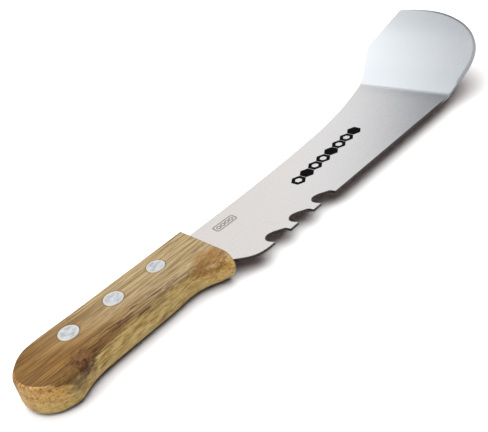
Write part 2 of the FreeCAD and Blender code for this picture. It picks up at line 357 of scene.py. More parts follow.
# -------------------------------------------------------------- grip wood
class GripWood(Tree):
    """Wood with its fibres along X: heartwood above, sapwood below, end grain at the ends."""

    def __init__(self):
        super().__init__(bpy.data.materials.new("grip_wood"))
        self.point = self.coords_mm()
        self.x, self.y, self.z = self.split(self.point)
        self.nx, _, self.nz = self.normal()

        # the fibres wander slowly across the grip
        wander = dict(freq=(0.016, 0.05, 0.05), detail=2.0, rough=0.5)
        side = self.noise(self.point, **wander)
        rise = self.noise(self.point, offset=(7.3, 2.1, 4.4), **wander)
        self.fibre = self.build("ShaderNodeCombineXYZ", self.x, self.y + side.swing(4.0),
                                self.z + rise.swing(3.0))

        self.broad = self.grain(0.010, 0.20, detail=3.0, rough=0.55)
        self.streak = self.grain(0.030, 1.25, detail=3.0, rough=0.62)
        self.thin = self.grain(0.040, 1.6, detail=2.0, rough=0.55, offset=(2.0, 5.0, 1.0))
        self.fine = self.grain(0.07, 4.6, detail=3.0, rough=0.6)
        self.mottle = self.grain(0.16, 0.55, detail=4.0, rough=0.68, offset=(4.0, 1.0, 6.0))
        self.ragged = self.grain(0.060, 0.60, detail=4.0, rough=0.68, offset=(1.0, 5.0, 8.0))
        self.ragged_z = self.z + self.ragged.swing(11.0)

    def grain(self, along, across, **settings):
        """Noise drawn out along the fibres; frequencies are per millimetre."""
        return self.noise(self.fibre, freq=(along, across, across), **settings)

    def layers(self):
        """Heartwood over the paler sapwood; also returns the plain brown and the pale."""
        tone = self.broad * 0.20 + self.streak * 0.42 + self.thin * 0.38
        # heartwood brown at the butt, sandier towards the blade
        brown = self.ramp(tone, (
            (0.395, (0.080, 0.034, 0.007)), (0.455, (0.134, 0.063, 0.014)),
            (0.505, (0.170, 0.085, 0.019)), (0.555, (0.206, 0.110, 0.028)),
            (0.620, (0.246, 0.138, 0.034))))
        sand = self.ramp(tone, (
            (0.395, (0.182, 0.118, 0.050)), (0.455, (0.250, 0.178, 0.086)),
            (0.505, (0.302, 0.228, 0.120)), (0.555, (0.352, 0.276, 0.156)),
            (0.620, (0.404, 0.328, 0.200))))
        pale_tone = self.mottle * 0.55 + (self.streak * 0.25 + self.broad * 0.20)
        pale = self.ramp(pale_tone, (
            (0.380, (0.180, 0.092, 0.021)), (0.440, (0.308, 0.192, 0.052)),
            (0.500, (0.430, 0.300, 0.098)), (0.560, (0.515, 0.385, 0.146)),
            (0.640, (0.595, 0.472, 0.215))))
        slant = self.x + self.y * 1.3 + self.broad.swing(36.0)
        face = self.mix(slant.fade(start=-40.0, end=26.0), brown, sand)
        # the wood is a little darker towards the butt end
        face = self.paint(face, self.tint(face, (0.76, 0.74, 0.72)),
                          mask=self.x.fade(start=-38.0, end=-58.0), strength=0.75)
        colour = self.mix(self.ragged_z.fade(start=16.2, end=13.6), face, pale)
        return colour, brown, pale

    def end_grain(self, brown, pale):
        """Specks where the surface cuts across the fibres."""
        small = self.noise(self.point, freq=(0.40, 0.80, 0.80), detail=3.0, rough=0.66,
                           offset=(2.0, 2.0, 2.0))
        large = self.noise(self.point, freq=(0.12, 0.16, 0.30), detail=3.0, rough=0.60,
                           offset=(5.0, 1.0, 2.0))
        speck = small * 0.62 + large * 0.38
        high = self.ramp(speck, (
            (0.385, (0.135, 0.048, 0.010)), (0.425, (0.330, 0.142, 0.028)),
            (0.475, (0.480, 0.240, 0.056)), (0.540, (0.560, 0.325, 0.088)),
            (0.620, (0.620, 0.420, 0.150))))
        # fewer and softer specks lower down, where the wood is younger and yellower
        low = self.ramp(speck, (
            (0.385, (0.250, 0.115, 0.026)), (0.435, (0.480, 0.275, 0.072)),
            (0.500, (0.585, 0.370, 0.112)), (0.620, (0.660, 0.470, 0.170))))
        pale_share = 0.35
        low = self.mix(pale_share, low, pale)
        height = self.z + self.mottle.swing(6.0)
        ends = self.mix(height.fade(start=12.5, end=8.0), high, low)
        # browner round the spine side of the butt
        spine = self.y.fade(start=1.5, end=5.5) * self.z.fade(start=7.0, end=13.0)
        return self.paint(ends, self.tint(brown, (1.10, 1.05, 1.0)), mask=spine, strength=0.75)

    def add_ends(self, colour, ends):
        steep = abs(self.nx) + self.ragged.swing(0.30)
        colour = self.paint(colour, ends, mask=steep.fade(start=0.30, end=0.42), strength=0.92)
        # the same at the front of the belly, where the fibres run out of the swell
        away = self.distance(self.point, centre=(47.0, -12.5, 16.5), scale=(0.075, 0.115, 0.09))
        away = away + self.mottle.swing(2.0)
        brown_share = 0.35
        swell = self.mix(brown_share, self.tint(ends, (0.46, 0.40, 0.36)), (0.215, 0.108, 0.030))
        swell = self.mix(self.ragged_z.fade(start=13.0, end=8.5), swell,
                         self.tint(ends, (0.97, 0.95, 0.88)))
        colour = self.paint(colour, swell, mask=away.fade(start=1.10, end=0.55), strength=0.92)
        # painted highlight: a lighter line along the rounded rim of the butt
        rim = (self.nz.fade(start=0.30, end=0.55) * self.nz.fade(start=0.93, end=0.75)
               * (self.nx.fade(start=-0.25, end=-0.50) * self.y.fade(start=4.0, end=0.5)))
        return self.paint(colour, (0.56, 0.40, 0.20), mask=rim,
                          strength=self.mottle.fade(start=0.40, end=0.58))

    def patch(self, y, z, rear, front):
        """A soft-edged region; each argument is the (start, end) of one fade."""
        return (self.y.fade(*y) * self.z.fade(*z)) * (self.x.fade(*rear) * self.x.fade(*front))

    def add_streaks(self, colour):
        """Dark open streaks where the rounded belly runs out of the upper layer."""
        belly = self.patch(y=(0.0, -6.0), z=(12.5, 15.5), rear=(-42.0, -24.0), front=(40.0, 12.0))
        butt = self.patch(y=(-8.0, -11.0), z=(15.0, 16.6), rear=(-53.0, -48.5),
                          front=(-40.0, -43.0))
        band = self.max(belly, butt)
        contour = self.grain(0.018, 0.50, detail=2.0, rough=0.50, offset=(5.0, 0.0, 3.0))
        breaks = self.grain(0.060, 0.40, detail=2.0, rough=0.60, offset=(1.0, 4.0, 7.0))
        # lines follow three levels of the contour noise
        middle = abs(contour - 0.5).fade(start=0.034, end=0.010)
        upper = abs(contour - 0.565).fade(start=0.026, end=0.008)
        lower = abs(contour - 0.435).fade(start=0.026, end=0.008)
        lines = self.max(middle, self.max(upper, lower))
        dashes = self.grain(0.070, 0.95, detail=1.0, rough=0.4, offset=(8.0, 3.0, 2.0))
        dashes = dashes.fade(start=0.525, end=0.565) * breaks.fade(start=0.38, end=0.47)
        line_strength = 0.45
        dark = lines * breaks.fade(start=0.46, end=0.54) * band
        dark = self.max(dark * line_strength, dashes * band)
        colour = self.paint(colour, (0.056, 0.020, 0.004), mask=dark, strength=0.84)
        faint = (lines * breaks.fade(start=0.50, end=0.42)) * self.z.fade(start=12.0, end=17.5)
        return self.paint(colour, (0.085, 0.040, 0.013), mask=faint, strength=0.48), dark

    def add_pores(self, colour):
        """Thin dark pores all over, and a fine light and dark grain."""
        pores = self.grain(0.06, 1.5, detail=2.0, rough=0.5, offset=(3.0, 9.0, 1.0))
        pores = pores.fade(start=0.565, end=0.640)
        colour = self.paint(colour, (0.085, 0.040, 0.012), mask=pores, strength=0.46)
        fine = self.ramp(self.fine, ((0.45, (0.12, 0.065, 0.025)), (0.55, (0.52, 0.41, 0.25))))
        return self.paint(colour, fine, mask=abs(self.fine - 0.5), strength=0.9), pores

    def add_knot(self, colour):
        """A small knot on the belly near the butt, with stained wood below it."""
        rough = self.noise(self.point, freq=(0.30, 0.42, 0.42), detail=4.0, rough=0.68,
                           offset=(0.6, 0.2, 0.0))
        away = self.distance(self.point, centre=(-31.8, -11.6, 17.0), scale=(0.125, 0.125, 0.11))
        knot = (away + rough.swing(1.3)).fade(start=1.10, end=0.35)
        knot_colour = self.ramp(rough, (
            (0.40, (0.040, 0.016, 0.008)), (0.50, (0.090, 0.038, 0.014)),
            (0.60, (0.170, 0.082, 0.030))))
        away = self.distance(self.point, centre=(-37.4, -15.4, 13.0), scale=(0.110, 0.10, 0.135))
        stain = (away + rough.swing(0.9)).fade(start=1.10, end=0.30)
        stain_colour = self.ramp(rough * 0.5 + self.mottle * 0.5, (
            (0.40, (0.062, 0.032, 0.012)), (0.50, (0.118, 0.066, 0.022)),
            (0.60, (0.250, 0.160, 0.058))))
        colour = self.paint(colour, stain_colour, mask=stain, strength=0.84)
        return self.paint(colour, knot_colour, mask=knot, strength=0.90)

    def add_rivet_shade_and_burn(self, colour):
        """A dark line where the grip meets each rivet: painted shade in the gap round the head,
        and burn marks.
        """
        for _, place, diameter in RIVETS:
            radius = diameter / 2
            shade_and_burn = self.rivet_distance(self.point, place).fade(start=radius + 0.75,
                                                               end=radius + 0.20)
            colour = self.paint(colour, (0.110, 0.075, 0.045), mask=shade_and_burn, strength=0.55)
        return colour


def wood_material():
    wood = GripWood()
    colour, brown, pale = wood.layers()
    colour = wood.add_ends(colour, wood.end_grain(brown, pale))
    colour, dark = wood.add_streaks(colour)
    colour, pores = wood.add_pores(colour)
    colour = wood.add_rivet_shade_and_burn(wood.add_knot(colour))
    # painted shade: the wood is dark to bounced light, so little light finds its way back out
    # from under the grip
    colour = wood.paint(colour, (0.050, 0.034, 0.034), mask=wood.ray("Is Diffuse Ray"),
                        strength=0.85)
    rough = 0.50 + wood.streak * 0.16
    # grain stands up; streaks and pores are sunk
    height = wood.streak * 0.40 + wood.fine * 0.30 - (dark * 0.5 + pores * 0.35)
    return wood.finish(wood.principled(
        colour, rough, normal=wood.bump(height, strength=0.45, distance=0.00012),
        specular=0.20))


# -------------------------------------------------------- other materials
# crease of the tip: its direction square to the bend, and its distance along it
CREASE_X, CREASE_Y, CREASE_AT = 0.9879, 0.1554, 243.23


def steel_painted_shade_and_highlight(tree, base, x, y):
    """Painted shade and highlight that change along the blade on both sides of the crease."""
    past = x * CREASE_X + y * CREASE_Y - CREASE_AT
    # painted shade: the flat darkens towards the bend, more so towards the belly side
    crease_shade = past.fade(start=-17.0, end=-2.0) * past.fade(start=1.0, end=-1.0)
    crease_shade = crease_shade * crease_shade
    least, extra = 0.045, 0.085
    crease_shade = crease_shade * (least + y.fade(start=34.0, end=-4.0) * extra)
    base = tree.mix(crease_shade, base, (0.0, 0.0, 0.0))
    # painted shade and highlight: the tip darkens towards its end and is painted brightest midway
    base = tree.paint(base, (0.0, 0.0, 0.0), mask=past.fade(start=34.0, end=58.0), strength=0.11)
    tip_highlight = past.fade(start=10.0, end=22.0) * past.fade(start=48.0, end=36.0)
    return tree.paint(base, (1.0, 1.0, 1.0), mask=tip_highlight, strength=0.16)


def steel_material():
    tree = material_tree("blade_steel")
    point = tree.coords_mm()
    x, y, _ = tree.split(point)
    # brush marks along the blade, and broad soft clouds
    brush = tree.noise(point, freq=(0.06, 5.5, 5.5), detail=3.0, rough=0.6)
    fine_brush = tree.noise(point, freq=(0.35, 14.0, 14.0), detail=2.0, rough=0.5,
                            offset=(4.0, 1.0, 0.0))
    cloud = tree.noise(point, freq=(0.018, 0.05, 0.05), detail=3.0, rough=0.5,
                       offset=(1.5, 3.0, 0.0))
    # sparse scratches, mostly lengthways
    along = tree.noise(point, freq=(0.045, 2.6, 2.6), detail=1.0, rough=0.4,
                       offset=(9.0, 4.0, 2.0), warp=0.6)
    along = along.fade(start=0.735, end=0.775) * cloud.fade(start=0.42, end=0.62)
    across = tree.noise(point, freq=(1.6, 0.05, 0.05), detail=1.0, rough=0.4,
                        offset=(2.0, 7.0, 1.0), warp=0.8)
    across = across.fade(start=0.76, end=0.80) * cloud.fade(start=0.50, end=0.66)
    scratches = tree.max(along, across)

    base = tree.paint((0.735, 0.725, 0.715), (0.845, 0.835, 0.825), mask=brush + cloud,
                      strength=0.5)
    base = tree.paint(base, (0.62, 0.62, 0.63), mask=scratches, strength=0.25)
    # painted reflection: the bent scraper tip is painted a little cooler and brighter than the
    # blade
    tip = x.fade(start=238.0, end=247.0)
    base = tree.paint(base, (0.800, 0.825, 0.845), mask=tip, strength=0.85)
    # painted shade and highlight along the blade and tip
    base = steel_painted_shade_and_highlight(tree, base, x, y)

    # the sheared edges of the sheet are rougher than its faces; their dark colour is partly the
    # cut steel and partly painted shade, less dark on the tip
    wall = abs(tree.normal()[2]).fade(start=0.72, end=0.40)
    grit = tree.noise(point, freq=(0.8, 0.8, 3.0), detail=3.0, rough=0.6, offset=(3.0, 8.0, 5.0))
    sheared_edge_shade = tree.ramp(grit, ((0.35, (0.030, 0.026, 0.025)), (0.65, (0.062, 0.056, 0.054))))
    ground_edge_shade = tree.ramp(grit, ((0.35, (0.20, 0.20, 0.205)), (0.65, (0.32, 0.32, 0.325))))
    base = tree.mix(wall, base, tree.mix(tip, sheared_edge_shade, ground_edge_shade))
    rough = (0.215 + brush * 0.08) + (cloud * 0.05 + scratches * 0.12) + wall * 0.25
    height = brush * 0.6 + fine_brush * 0.4 - scratches * 0.6
    # painted shade: the blade is dark and warm to bounced light, so little light finds its way
    # back out from under it
    base = tree.paint(base, (0.130, 0.072, 0.062), mask=tree.ray("Is Diffuse Ray"),
                      strength=0.84)
    return tree.finish(tree.principled(
        base, rough, metallic=1.0, normal=tree.bump(height, strength=0.16, distance=0.00004)))


def rivet_material():
    tree = material_tree("rivet_metal")
    point = tree.coords_mm()
    mottle = tree.noise(point, freq=(0.34, 0.42, 0.42), detail=3.0, rough=0.62,
                        offset=(1.7, 0.6, 0.0))
    fine = tree.noise(point, freq=(4.0, 4.0, 4.0), detail=3.0, rough=0.6)
    base = tree.ramp(mottle, (
        (0.35, (0.54, 0.56, 0.58)), (0.42, (0.62, 0.67, 0.71)),
        (0.50, (0.70, 0.76, 0.80)), (0.60, (0.84, 0.87, 0.885))))
    # painted highlight: each head is painted bright towards its edge
    for _, place, diameter in RIVETS:
        radius = diameter / 2
        away = tree.rivet_distance(point, place)
        rim_highlight = (away.fade(start=radius * 0.66, end=radius * 0.90)
                * away.fade(start=radius + 2.0, end=radius + 0.5))
        base = tree.paint(base, (0.880, 0.850, 0.770), mask=rim_highlight, strength=0.80)
    rough = 0.32 + (mottle + fine) * 0.10
    height = mottle * 0.8 + fine * 0.2
    return tree.finish(tree.principled(
        base, rough, metallic=1.0, normal=tree.bump(height, strength=0.12, distance=0.00012)))


def ink_material():
    tree = material_tree("print_ink")
    grit = tree.noise(tree.coords_mm(), freq=(1.4, 1.4, 1.4), detail=4.0, rough=0.65)
    colour = tree.paint((0.002, 0.002, 0.002), (0.06, 0.06, 0.06),
                        mask=grit.fade(start=0.66, end=0.74), strength=0.35)
    return tree.finish(tree.principled(
        colour, rough=0.55 + grit * 0.18,
        normal=tree.bump(grit, strength=0.15, distance=0.00003), specular=0.02))


def etch_material():
    tree = material_tree("etched_mark")
    grit = tree.noise(tree.coords_mm(), freq=(2.2, 2.2, 2.2), detail=4.0, rough=0.6)
    colour = tree.ramp(grit, ((0.35, (0.13, 0.13, 0.115)), (0.62, (0.32, 0.315, 0.29))))
    return tree.finish(tree.principled(
        colour, rough=0.5 + grit * 0.2, metallic=0.55,
        normal=tree.bump(grit, strength=0.2, distance=0.00003)))


WOOD, STEEL, RIVET_METAL = wood_material(), steel_material(), rivet_material()
INK, ETCH = ink_material(), etch_material()


# ------------------------------------------------------------------- blade
UP_NORMAL = (0.0, 0.0, 1.0)
TIP_NORMAL = (-0.4175, -0.0657, 0.9063)     # upper face of the bent tip
SHEARED_ANGLE = 40                          # edges sharper than this are broken, in degrees
EDGE_BREAK = 0.14


def build_blade():
    """The sheet as designed, with its sheared edges broken by a fine radius."""
    bm = bmesh.new()
    bm.from_mesh(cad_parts["blade"].data)
    bmesh.ops.remove_doubles(bm, verts=bm.verts[:], dist=3e-6)
    bmesh.ops.dissolve_limit(bm, angle_limit=math.radians(0.02), use_dissolve_boundaries=False,
                             verts=bm.verts[:], edges=bm.edges[:])
    sharp = [e for e in bm.edges if len(e.link_faces) == 2
             and e.calc_face_angle() > math.radians(SHEARED_ANGLE)]
    bmesh.ops.bevel(bm, geom=sharp, offset=EDGE_BREAK * MM, offset_type="OFFSET", segments=2,
                    profile=0.5, affect="EDGES", clamp_overlap=True)
    bmesh.ops.triangulate(bm, faces=[f for f in bm.faces if len(f.verts) > 4])
    ob = new_object("blade_sheet", bm, STEEL)
    exact_normals(ob, (UP_NORMAL, TIP_NORMAL), near=1.0, soft=9.0)
    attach(ob, "root")
    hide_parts("blade")


# -------------------------------------------------------------------- grip
GRIP_THICKNESS = 18.4
GRIP_FRONT = 55.1                       # the outline is cut off square here
FRONT_ROUND = 0.7
# x, y, rounding of the upper edge, rounding of the lower edge: from the front of the
# spine round the butt and along the belly; points past the front only steer the curve
GRIP_OUTLINE = (
    (60.7, 11.2, 1.4, 1.8), (53.4, 11.2, 1.4, 1.8), (41.4, 11.2, 1.4, 1.8),
    (18.4, 11.1, 1.4, 1.8), (0.0, 11.0, 1.4, 1.8), (-18.4, 11.0, 1.4, 1.8),
    (-33.1, 11.2, 1.3, 1.8), (-42.3, 11.0, 1.2, 2.3), (-48.3, 9.9, 1.2, 2.9),
    (-53.4, 7.0, 1.2, 3.4), (-57.3, 3.6, 1.7, 4.6), (-60.7, -0.9, 3.0, 5.8),
    (-61.4, -6.4, 2.3, 3.6), (-60.4, -11.8, 1.8, 3.4), (-57.6, -16.8, 1.7, 3.4),
    (-53.4, -20.8, 2.3, 3.6), (-48.1, -23.6, 3.5, 5.0), (-43.2, -24.8, 4.5, 6.0),
    (-38.1, -23.6, 5.5, 7.2), (-32.2, -21.6, 6.0, 7.4), (-23.9, -20.5, 6.4, 7.4),
    (-9.2, -20.1, 6.4, 7.4), (9.2, -19.7, 6.4, 7.4), (23.9, -19.2, 6.4, 7.4),
    (33.1, -19.0, 6.9, 7.8), (39.6, -20.4, 7.8, 8.3), (46.0, -23.6, 8.3, 8.8),
    (51.1, -26.6, 7.5, 10.2), (55.7, -28.5, 6.5, 11.3), (60.7, -29.7, 6.2, 11.4),
    (68.0, -30.1, 6.5, 11.0), (80.0, -27.6, 6.5, 8.0), (88.0, -19.0, 5.0, 5.0),
    (91.0, -8.0, 3.0, 3.0), (88.0, 3.5, 1.8, 1.8), (80.0, 10.0, 1.4, 1.8),
    (70.0, 11.4, 1.4, 1.8),
)
SPINE_ROWS, BELLY_ROWS = (0, 2), (26, 30)   # outline rows on either side of the front
ROUND_STEPS = 9
WALL_LEVELS = (0.34, 0.67)
AROUND_STEPS = 190

KERF_REAR, KERF_LOW, KERF_RADIUS = -42.2, -8.2, 10.2
KERF_FRONT, KERF_HIGH = GRIP_FRONT + 20, 40.0   # clear of the wood
KERF_GAP = 0.05
HEAD_GAP, SHANK_GAP = 0.07, 0.04


class Outline:
    """Closed cubic curve through the outline's points, and its two radii."""

    def __init__(self, rows):
        self.points = np.array([row[:2] for row in rows], float)
        self.radii = np.array([row[2:] for row in rows], float)
        self.count = count = len(rows)
        points = self.points
        self.spans = spans = np.linalg.norm(np.roll(points, -1, 0) - points, axis=1)
        self.starts = np.concatenate([[0], np.cumsum(spans)])
        matrix = np.zeros((count, count))
        right = np.zeros((count, 2))
        for i in range(count):
            after = (i + 1) % count
            matrix[i, i - 1] += spans[i - 1]
            matrix[i, i] += 2 * (spans[i - 1] + spans[i])
            matrix[i, after] += spans[i]
            right[i] = 6 * ((points[after] - points[i]) / spans[i]
                            - (points[i] - points[i - 1]) / spans[i - 1])
        self.bends = np.linalg.solve(matrix, right)

    def at(self, along):
        """Point, outward normal and (upper, lower) radii at a distance along the chords."""
        along = along % self.starts[-1]
        i = min(int(np.searchsorted(self.starts, along, side="right")) - 1, self.count - 1)
        j = (i + 1) % self.count
        span, step = self.spans[i], along - self.starts[i]
        a, b = (span - step) / span, step / span
        start, end = self.points[i], self.points[j]
        bend0, bend1 = self.bends[i], self.bends[j]
        point = (a * start + b * end
                 + ((a ** 3 - a) * bend0 + (b ** 3 - b) * bend1) * span * span / 6)
        slope = ((end - start) / span
                 + (-(3 * a * a - 1) * bend0 + (3 * b * b - 1) * bend1) * span / 6)
        slope = slope / np.linalg.norm(slope)
        ease = b * b * (3 - 2 * b)
        radii = self.radii[i] * (1 - ease) + self.radii[j] * ease
        return point, np.array([slope[1], -slope[0]]), radii


def grip_levels():
    """(part, inset, rise) from the underside up; the rounded parts are in radii."""
    angles = [0.5 * math.pi * k / ROUND_STEPS for k in range(ROUND_STEPS + 1)]
    rounding = [(1 - math.sin(a), 1 - math.cos(a)) for a in angles]
    return ([("low", *step) for step in rounding]
            + [("wall", 0.0, rise) for rise in WALL_LEVELS]
            + [("top", *step) for step in reversed(rounding)])


def grip_point(curve, along, level):
    point, normal, (upper, lower) = curve.at(along)
    part, inset, rise = level
    if part == "low":
        inset, z = lower * inset, lower * rise
    elif part == "top":
        inset, z = upper * inset, GRIP_THICKNESS - upper * rise
    else:
        z = lower + rise * (GRIP_THICKNESS - upper - lower)
    x, y = point - normal * inset
    return x, y, z


def front_crossing(curve, level, rows):
    """Where along the curve a level meets the front plane, between two outline rows."""
    low, high = (curve.starts[row] for row in rows)
    rising = grip_point(curve, high, level)[0] > grip_point(curve, low, level)[0]
    for _ in range(40):
        middle = 0.5 * (low + high)
        if (grip_point(curve, middle, level)[0] > GRIP_FRONT) == rising:
            high = middle
        else:
            low = middle
    return 0.5 * (low + high)


def build_grip_block():
    curve = Outline(GRIP_OUTLINE)
    bm = bmesh.new()
    grid = []
    for level in grip_levels():
        start = front_crossing(curve, level, SPINE_ROWS)
        end = front_crossing(curve, level, BELLY_ROWS)
        row = []
        for i in range(AROUND_STEPS + 1):
            x, y, z = grip_point(curve, start + (end - start) * i / AROUND_STEPS, level)
            if i in (0, AROUND_STEPS):
                x = GRIP_FRONT
            row.append(bm.verts.new(((x + ORIGIN_X) * MM, (y + ORIGIN_Y) * MM, z * MM)))
        grid.append(row)
    for a, b in zip(grid[:-1], grid[1:]):
        for i in range(AROUND_STEPS):
            bm.faces.new((a[i], a[i + 1], b[i + 1], b[i]))
    bm.faces.new(list(reversed(grid[0])))
    bm.faces.new(grid[-1])
    cap = bm.faces.new([row[0] for row in grid] + [row[-1] for row in reversed(grid)])
    bmesh.ops.recalc_face_normals(bm, faces=bm.faces[:])
    # the front end's rim is sanded round
    bmesh.ops.bevel(bm, geom=list(cap.edges), offset=FRONT_ROUND * MM, offset_type="OFFSET",
                    segments=3, profile=0.5, affect="EDGES", clamp_overlap=True)
    return new_object("grip_body", bm, WOOD)


def kerf_cutter():
    """The slot for the tang, with a rounded rear corner on the belly side."""
    angles = [0.5 * math.pi * i / 12 for i in range(12, -1, -1)]
    outline = [(KERF_REAR + KERF_RADIUS - KERF_RADIUS * math.sin(a),
                KERF_LOW + KERF_RADIUS - KERF_RADIUS * math.cos(a)) for a in angles]
    outline += [(KERF_FRONT, KERF_LOW), (KERF_FRONT, KERF_HIGH), (KERF_REAR, KERF_HIGH)]
    bm = bmesh.new()
    add_plate(bm, [(x + ORIGIN_X, y + ORIGIN_Y) for x, y in outline],
              BLADE_TOP - BLADE_THICKNESS - KERF_GAP, BLADE_TOP + KERF_GAP)
    return new_object("cut_kerf", bm, WOOD)


def rivet_cutter(place, diameter):
    """A stepped hole for a rivet's two heads and its sleeve."""
    head, shank = diameter / 2 + HEAD_GAP, SLEEVE_RADIUS + SHANK_GAP
    low, high = HEAD_HEIGHT + SHANK_GAP, PIN_HEAD_BASE - SHANK_GAP
    below, above = -3, 22               # clear of the wood
    profile = [(0, below), (head, below), (head, low), (shank, low), (shank, high),
               (head, high), (head, above), (0, above)]
    return new_object("cut_rivet", lathe(profile, place + ORIGIN_X, ORIGIN_Y), WOOD)


def build_grip():
    ob = build_grip_block()
    cut_away(ob, [kerf_cutter()] + [rivet_cutter(place, size) for _, place, size in RIVETS])
    shade(ob, angle=33.0)
    weighted = ob.modifiers.new("weighted", "WEIGHTED_NORMAL")
    weighted.mode = "FACE_AREA"
    weighted.weight = 50
    weighted.keep_sharp = True
    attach(ob, "root")
    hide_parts("grip")


# ------------------------------------------------------------------ rivets
PIN_RADIUS, PIN_END, PIN_CHAMFER = 1.5, 3.6, 0.3
BORE_RADIUS, BORE_FLOOR, SLEEVE_TOP = 1.52, 1.62, 14.75
HEAD_DISH = 0.05                        # depth of the hollow in a head's outer face
FACE_RINGS, RIM_STEPS = 14, 5


def dent(x, y, seed):
    """Depth of the shallow press marks on a rivet head: broad ones and small ones."""
    broad = noise.noise(Vector((x * 0.42 + seed * 7.1, y * 0.42 - seed * 3.7, seed * 1.3)))
    small = noise.noise(Vector((x * 1.1 - seed * 2.0, y * 1.1 + seed * 5.0, 4.0 + seed)))
    return 0.055 * broad + 0.02 * small


def build_rivet_part(name, place, radius, face_z, up, rim, body, seed):
    """A head with a rounded rim and dished face (up is +1 or -1), and the body behind it."""
    flat = radius - rim
    profile = [(flat * (i / FACE_RINGS), face_z) for i in range(FACE_RINGS + 1)]
    for k in range(1, RIM_STEPS + 1):
        angle = 0.5 * math.pi * k / RIM_STEPS
        profile.append((flat + rim * math.sin(angle), face_z - up * rim * (1 - math.cos(angle))))
    centre = place + ORIGIN_X
    bm = lathe(profile + body, centre, ORIGIN_Y)
    for vert in bm.verts:
        if abs(vert.co.z / MM - face_z) < 1e-4:
            x, y = vert.co.x / MM - centre, vert.co.y / MM - ORIGIN_Y
            # the hollow and dents fade out over the outer third of the face
            inward = min(1.0, max(0.0, 1.0 - math.hypot(x, y) / flat) * 3.0)
            inward = inward * inward * (3 - 2 * inward)
            vert.co.z -= up * (HEAD_DISH * inward + abs(dent(x, y, seed)) * inward) * MM
    ob = new_object(name + "_head", bm, RIVET_METAL)
    shade(ob, angle=40.0)
    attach(ob, "root")
    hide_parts(name)


def build_rivets():
    for index, (name, place, diameter) in enumerate(RIVETS):
        radius = diameter / 2
        # pin: head on the upper face, shank down into the sleeve
        shank = [(radius, PIN_HEAD_BASE), (PIN_RADIUS, PIN_HEAD_BASE),
                 (PIN_RADIUS, PIN_END + PIN_CHAMFER), (PIN_RADIUS - PIN_CHAMFER, PIN_END),
                 (0, PIN_END)]
        build_rivet_part(name + "_rivet_pin", place, radius, face_z=RIVET_TOP, up=1, rim=0.3,
                         body=shank, seed=index + 1)
        # sleeve: head on the underside, tube up through the tang
        tube = [(radius, HEAD_HEIGHT), (SLEEVE_RADIUS, HEAD_HEIGHT), (SLEEVE_RADIUS, SLEEVE_TOP),
                (BORE_RADIUS, SLEEVE_TOP), (BORE_RADIUS, BORE_FLOOR), (0, BORE_FLOOR)]
        build_rivet_part(name + "_rivet_sleeve", place, radius, face_z=0.0, up=-1, rim=0.15,
                         body=tube, seed=index + 5)


# -------------------------------------------------------- marks on the blade
# centre of each mark from the middle rivet, and its turn in radians
BAND_PLACE = ((158.8, -3.6), math.radians(4.5))
BAND_CELLS, BAND_CELL_RADIUS, BAND_HEIGHT = 8, 4.75, 0.03
BAND_OUTER, BAND_INNER = 0.965, 0.46    # outline of a cell, as shares of its radius

STAMP_PLACE = ((79.3, 3.75), math.radians(-2.4))
STAMP_LENGTH, STAMP_WIDTH, STAMP_LINE, STAMP_HEIGHT = 15.0, 5.8, 0.8, 0.012
STAMP_OUTER_CORNER, STAMP_INNER_CORNER = 1.6, 0.9
STAMP_CELLS, STAMP_PITCH = 4, 3.0
STAMP_CELL_OUTER, STAMP_CELL_INNER = 1.62, 0.78


def placed(points, place):
    centre, angle = place
    cos, sin = math.cos(angle), math.sin(angle)
    return [(centre[0] + x * cos - y * sin + ORIGIN_X, centre[1] + x * sin + y * cos + ORIGIN_Y)
            for x, y in points]


def hexagon(x, radius):
    angles = [math.pi / 6 + math.pi / 3 * k for k in range(6)]
    return [(x + radius * math.cos(a), radius * math.sin(a)) for a in angles]


def rounded_rect(length, width, radius, steps=6):
    x, y = length / 2 - radius, width / 2 - radius
    points = []
    for corner_x, corner_y, start in ((x, y, 0), (-x, y, 90), (-x, -y, 180), (x, -y, 270)):
        for i in range(steps + 1):
            angle = math.radians(start + 90 * i / steps)
            points.append((corner_x + radius * math.cos(angle),
                           corner_y + radius * math.sin(angle)))
    return points


def finish_mark(name, bm, material):
    ob = new_object(name, bm, material)
    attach(ob, "root")


def build_comb_band():
    """A printed row of honeycomb cells; every third one, from the second, is solid."""
    bm = bmesh.new()
    top = BLADE_TOP + BAND_HEIGHT
    for k in range(BAND_CELLS):
        x = (k - (BAND_CELLS - 1) / 2) * BAND_CELL_RADIUS * math.sqrt(3)
        outer = placed(hexagon(x, BAND_CELL_RADIUS * BAND_OUTER), BAND_PLACE)
        if k % 3 == 1:
            add_plate(bm, outer, BLADE_TOP, top)
        else:
            inner = placed(hexagon(x, BAND_CELL_RADIUS * BAND_INNER), BAND_PLACE)
            add_frame(bm, outer, inner, BLADE_TOP, top)
    finish_mark("printed_comb_band", bm, INK)


def build_stamp():
    """A faint etched frame with a row of small cells."""
    shapes = [(rounded_rect(STAMP_LENGTH, STAMP_WIDTH, STAMP_OUTER_CORNER),
               rounded_rect(STAMP_LENGTH - 2 * STAMP_LINE, STAMP_WIDTH - 2 * STAMP_LINE,
                            STAMP_INNER_CORNER))]
    for k in range(STAMP_CELLS):
        x = (k - (STAMP_CELLS - 1) / 2) * STAMP_PITCH
        shapes.append((hexagon(x, STAMP_CELL_OUTER), hexagon(x, STAMP_CELL_INNER)))
    bm = bmesh.new()
    for outer, inner in shapes:
        add_frame(bm, placed(outer, STAMP_PLACE), placed(inner, STAMP_PLACE),
                  BLADE_TOP, BLADE_TOP + STAMP_HEIGHT)
    finish_mark("etched_cell_stamp", bm, ETCH)


# ------------------------------------------------------------ stage, light
FLOOR_HALF, FLOOR_Z = 4.0, -0.0001
WHITE = (1.0, 1.0, 1.0)

AMBIENT_COLOUR, AMBIENT_STRENGTH = (1.0, 0.80, 0.76), 0.035
TABLE_REFLECTION = (0.25, 0.200, 0.190)     # in reflections the table is dim and warm
